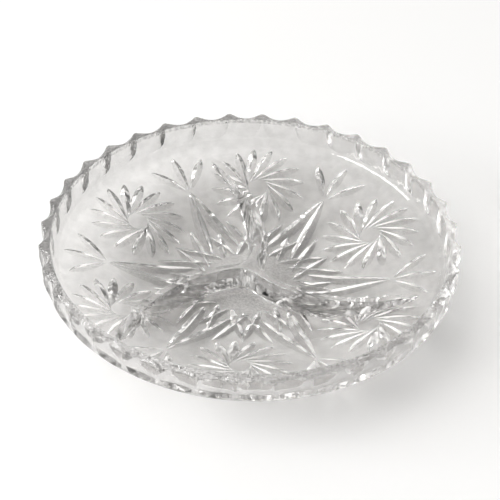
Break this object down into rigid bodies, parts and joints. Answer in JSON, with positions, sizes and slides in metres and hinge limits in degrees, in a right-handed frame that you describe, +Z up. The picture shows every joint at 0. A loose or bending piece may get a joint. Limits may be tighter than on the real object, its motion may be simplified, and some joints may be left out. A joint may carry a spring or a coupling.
{
  "type": "relish tray",
  "caption": "Round dished relish tray of clear pressed glass with fluted, scalloped wall, pattern cut underneath and swirled dividers.",
  "frame": {"origin": "middle of the flat face that the tray stands on", "axes": "+Z up out of the tray, +X along one of the fans under the floor and through a rim point, +Y away from the picture's camera within 2.5 degrees"},
  "size_m": [0.23, 0.23, 0.037],
  "materials": {
    "clear_glass": "fire-polished pressed glass, clear and colourless"
  },
  "bodies": {
    "root": {"rest_base": "clear_glass", "dished_floor": "clear_glass", "fluted_wall": "clear_glass", "divider_hub": "clear_glass", "divider_far": "clear_glass", "divider_left": "clear_glass", "divider_right": "clear_glass"}
  },
  "joints": []
}
